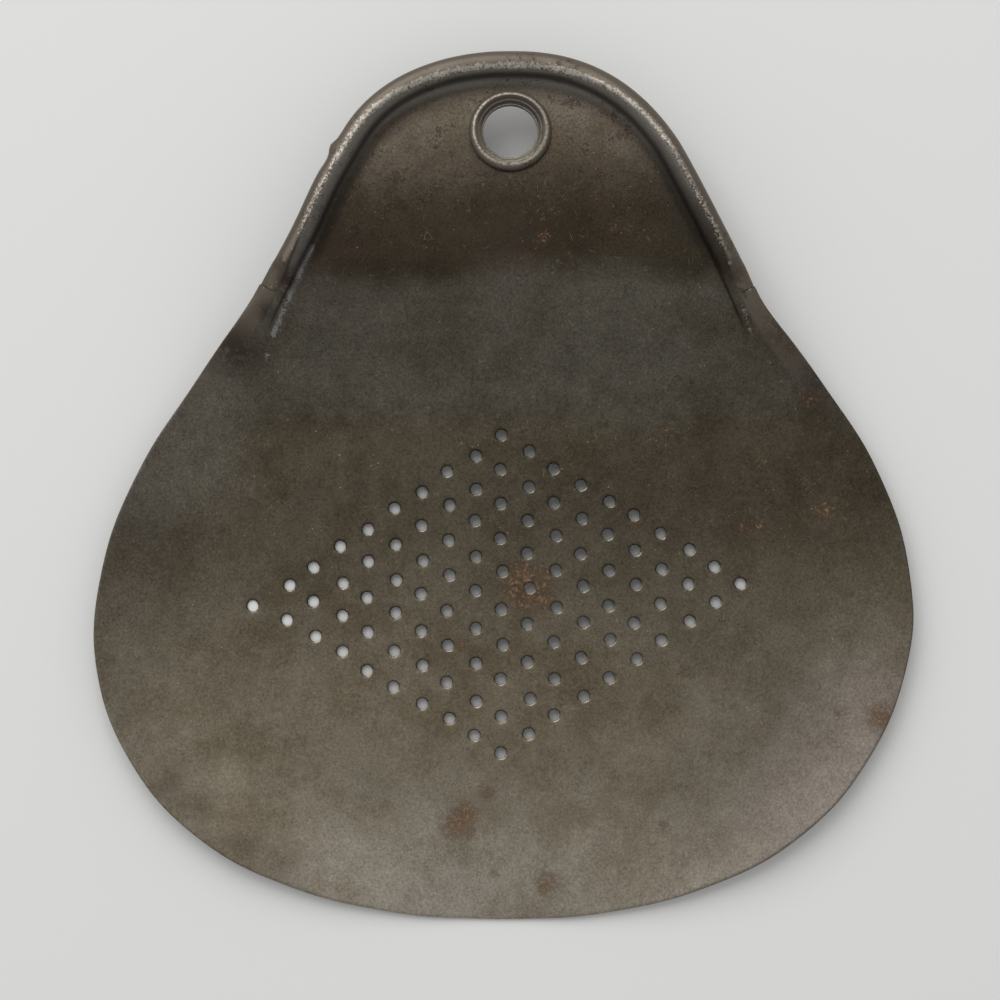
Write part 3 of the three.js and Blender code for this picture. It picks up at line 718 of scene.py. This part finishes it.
stiffening_wire = bpy.data.objects.new("stiffening_wire", wire_mesh)
bpy.context.collection.objects.link(stiffening_wire)
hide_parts("rim_wire")
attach(stiffening_wire, "root")

# The hanging eyelet
# A funnel-shaped eyelet of the same iron, pushed through the plate from the front and rolled back
# behind it, so that the skimmer hangs on a nail without tearing.
flange_radius, eyelet_crest_radius, flare_radius = 16.6 / 2, 14.4 / 2, 14.6 / 2
crest_height = 1.7
shoulder_share, lip_round = 0.8, 0.16
funnel_round_share, funnel_steep_share = 0.3, 0.65
crest_wear_out, crest_wear_width, lip_wear_width = 0.2, 0.35, 0.12
funnel_foot, funnel_brow = 0.2, 0.4  # the funnel's painted light and shade begin and end this far from lip and crest
eyelet_turns, curve_steps = 120, 12


def bezier(points, steps):
    """Points on the cubic curve of four control points, without the first."""
    t = (np.arange(1, steps + 1) / steps)[:, None]
    a, b, c, d = (np.array(p, float) for p in points)
    return (1 - t) ** 3 * a + 3 * (1 - t) ** 2 * t * b + 3 * (1 - t) * t**2 * c + t**3 * d


barrel = bore_radius + eyelet_wall
behind = -sheet - clearance
throat = behind / 2
shoulder_up = shoulder_share * crest_height
shoulder_out = mix(flange_radius, eyelet_crest_radius, shoulder_share)
back = behind - eyelet_wall
under_crest = crest_height - eyelet_wall
inner_flange = flange_radius - eyelet_wall
crest_point = np.array([eyelet_crest_radius, crest_height])
lip = np.array([bore_radius + lip_round, lip_round])
over = (mix(eyelet_crest_radius, lip[0], funnel_round_share), crest_height)
steep = mix(crest_point, lip, funnel_steep_share)
flange_foot, bore_throat = (flange_radius, clearance), (bore_radius, throat)
barrel_top, crest_under = (barrel, clearance), (eyelet_crest_radius, under_crest)
barrel_corner, flange_corner = (barrel, under_crest), (inner_flange, under_crest)
shoulder = [flange_foot, (flange_radius, shoulder_up), (shoulder_out, crest_height), crest_point]
funnel = [crest_point, over, steep, lip]
mouth = [lip, (bore_radius, lip_round / 2), (bore_radius, 0), bore_throat]
rolled_back = [bore_throat, (bore_radius, behind), (bore_radius, back), (barrel, back)]
flare = np.array([[flare_radius, back], [flare_radius, behind], [barrel, behind], barrel_top])
inner = [barrel_top, barrel_corner, barrel_corner, crest_under]
outer = [crest_under, flange_corner, flange_corner, (inner_flange, clearance)]
front = [bezier(points, curve_steps) for points in (shoulder, funnel, mouth, rolled_back)]
under = [bezier(points, curve_steps) for points in (inner, outer)]
profile = np.concatenate([[flange_foot], *front, flare, *under])
angle = 2 * np.pi * np.arange(eyelet_turns) / eyelet_turns
normal = body_normal(*eyelet_place)
across = np.cross([0, 1, 0], normal)
across /= np.linalg.norm(across)
along = np.cross(normal, across)
spoke = np.cos(angle)[:, None] * across + np.sin(angle)[:, None] * along
foot = np.array([*eyelet_place, body_top(*eyelet_place)])
turned = foot + spoke[:, None] * profile[None, :, :1] + normal * profile[None, :, 1:]
eyelet = Patches()
turned = np.concatenate([turned, turned[:, :1]], axis=1)
from_axis = profile[:, 0]
# Polish on the eyelet's crest and lip, which also stands in for their highlights.
crest_wear = np.exp(-(((from_axis - eyelet_crest_radius - crest_wear_out) / crest_wear_width) ** 2))
crest_wear *= profile[:, 1] > crest_height / 2
lip_wear = np.exp(-(((from_axis - lip[0]) / lip_wear_width) ** 2))
lip_wear *= abs(profile[:, 1]) < 3 * lip_round
in_funnel = smoothstep(from_axis, lip[0], lip[0] + funnel_foot)
in_funnel *= smoothstep(from_axis, crest_point[0], crest_point[0] - funnel_brow)
in_funnel *= profile[:, 1] > lip_round / 2
in_funnel[len(front[0]) + len(front[1]) + 1 :] = 0
funnel_painted_light = -np.sin(angle)[:, None] * in_funnel  # a painted highlight on the funnel below and painted shade above
eyelet_wear = np.where(in_funnel > 0.3, funnel_painted_light, np.maximum(crest_wear, lip_wear))
eyelet_wear = np.append(eyelet_wear, eyelet_wear[:, :1], axis=1)
eyelet.grid(turned, closed=True, wear=eyelet_wear, inset=17, within=-1)
eyelet_mesh = eyelet.mesh("funnel_eyelet")
eyelet_mesh.set_sharp_from_angle(angle=math.radians(50))
eyelet_mesh.materials.append(tinned_iron("dull_tinned_iron", (168, 161, 146), 0.4))
funnel_eyelet = bpy.data.objects.new("funnel_eyelet", eyelet_mesh)
bpy.context.collection.objects.link(funnel_eyelet)
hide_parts("hanging_eyelet")
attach(funnel_eyelet, "root")

# The floor, the light and the camera
floor_mesh = bpy.data.meshes.new("pale_floor")
floor_reach, floor_drop = 2500 * MM, 0.02 * MM
around = ((-1, -1), (1, -1), (1, 1), (-1, 1))
corners = [(x * floor_reach, y * floor_reach, -floor_drop) for x, y in around]
floor_mesh.from_pydata(corners, [], [(0, 1, 2, 3)])
floor_paint, _, floor_shader = new_material("pale_floor")
floor_shader.inputs["Base Color"].default_value = colour(232, 232, 230)
floor_shader.inputs["Roughness"].default_value = 0.9
floor_shader.inputs["Specular IOR Level"].default_value = 0.1
floor_mesh.materials.append(floor_paint)
pale_floor = bpy.data.objects.new("pale_floor", floor_mesh)
bpy.context.collection.objects.link(pale_floor)

camera_target = Vector((-0.75, -3.51, 9.0)) * MM
camera_distance, camera_lean = 450 * MM, math.radians(5)
sensor_width, lens_per_sensor = 36, 2.268
camera_data = bpy.data.cameras.new("camera")
camera_data.sensor_width = sensor_width
camera_data.lens = sensor_width * lens_per_sensor
camera_data.clip_start = 0.01
camera = bpy.data.objects.new("camera", camera_data)
towards_camera = Vector((0, -math.sin(camera_lean), math.cos(camera_lean)))
camera.location = camera_target + camera_distance * towards_camera
camera.rotation_euler = (camera_target - camera.location).to_track_quat("-Z", "Y").to_euler()
bpy.context.collection.objects.link(camera)
bpy.context.scene.camera = camera

# One big soft window beyond the crown, a little to the left, and a plain white sky.
window_place = Vector((-0.36, 0.85, 0.98))
window = bpy.data.lights.new("window_light", "AREA")
window.shape, window.size, window.energy = "SQUARE", 1.25, 10.5
window_light = bpy.data.objects.new("window_light", window)
window_light.location = window_place
window_light.rotation_euler = (-window_place).to_track_quat("-Z", "Y").to_euler()
bpy.context.collection.objects.link(window_light)
world = bpy.data.worlds.new("studio")
bpy.context.scene.world = world
world.use_nodes = True
sky = world.node_tree.nodes["Background"]
sky.inputs["Color"].default_value = (1, 1, 1, 1)
sky.inputs["Strength"].default_value = 0.52
bpy.context.scene.view_settings.view_transform = "Standard"
